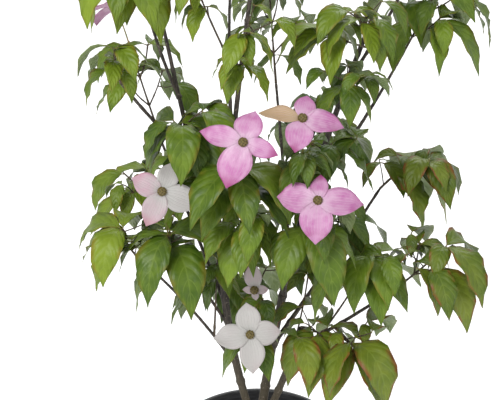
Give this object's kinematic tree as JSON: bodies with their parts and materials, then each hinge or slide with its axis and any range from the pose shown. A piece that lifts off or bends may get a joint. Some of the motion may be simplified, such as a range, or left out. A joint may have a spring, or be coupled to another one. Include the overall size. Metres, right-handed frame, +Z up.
{
  "type": "kousa dogwood in a pot",
  "caption": "Young dogwood shrub with slender stems from one foot, hanging pointed leaves and broad pink and white bracts, rooted in a round black nursery pot.",
  "frame": {"origin": "middle of the pot's flat underside", "axes": "+Z straight up from the pot's underside to the crown, -Y towards the side that the picture shows, +X to the right as seen from that side"},
  "size_m": [0.4492, 0.395, 1.0084],
  "materials": {
    "bark": "matt grey-brown bark",
    "pot": "satin black plastic",
    "soil": "crumbly moist compost",
    "leaves": "satin mid-green leaves, with pink and white bracts"
  },
  "bodies": {
    "root": {"back_center": "leaves", "back_high": "leaves", "back_high_bough": "bark", "back_left": "leaves", "back_left_bough": "bark", "back_left_low": "leaves", "back_low": "leaves", "back_right": "leaves", "back_right_bough": "bark", "back_right_low": "leaves", "center": "leaves", "center_left": "leaves", "front_bough": "bark", "front_left": "leaves", "front_middle": "leaves", "front_top": "leaves", "leader_back": "leaves", "leader_front": "leaves", "leader_left": "leaves", "leader_low": "leaves", "left_bough": "bark", "left_edge": "leaves", "left_high": "leaves", "left_high_bough": "bark", "left_inner": "leaves", "left_leader": "bark", "left_low_bough": "bark", "left_stem": "bark", "left_upper": "leaves", "low_center": "leaves", "low_left": "leaves", "low_middle": "leaves", "middle_leader": "bark", "middle_right": "leaves", "middle_stem": "bark", "pot": "pot", "right_back_bough": "bark", "right_bough": "bark", "right_front": "leaves", "right_high": "leaves", "right_high_bough": "bark", "right_inner": "leaves", "right_low": "leaves", "right_middle": "leaves", "right_shoot": "leaves", "right_side": "leaves", "right_stem": "bark", "right_tip": "leaves", "right_top": "leaves", "right_top_left": "leaves", "right_top_low": "leaves", "soil": "soil", "top_leader": "leaves", "top_left": "leaves", "top_left_bough": "bark", "top_middle": "leaves", "top_right": "leaves", "top_right_bough": "bark", "top_stem": "leaves", "trunk": "bark"}
  },
  "joints": []
}
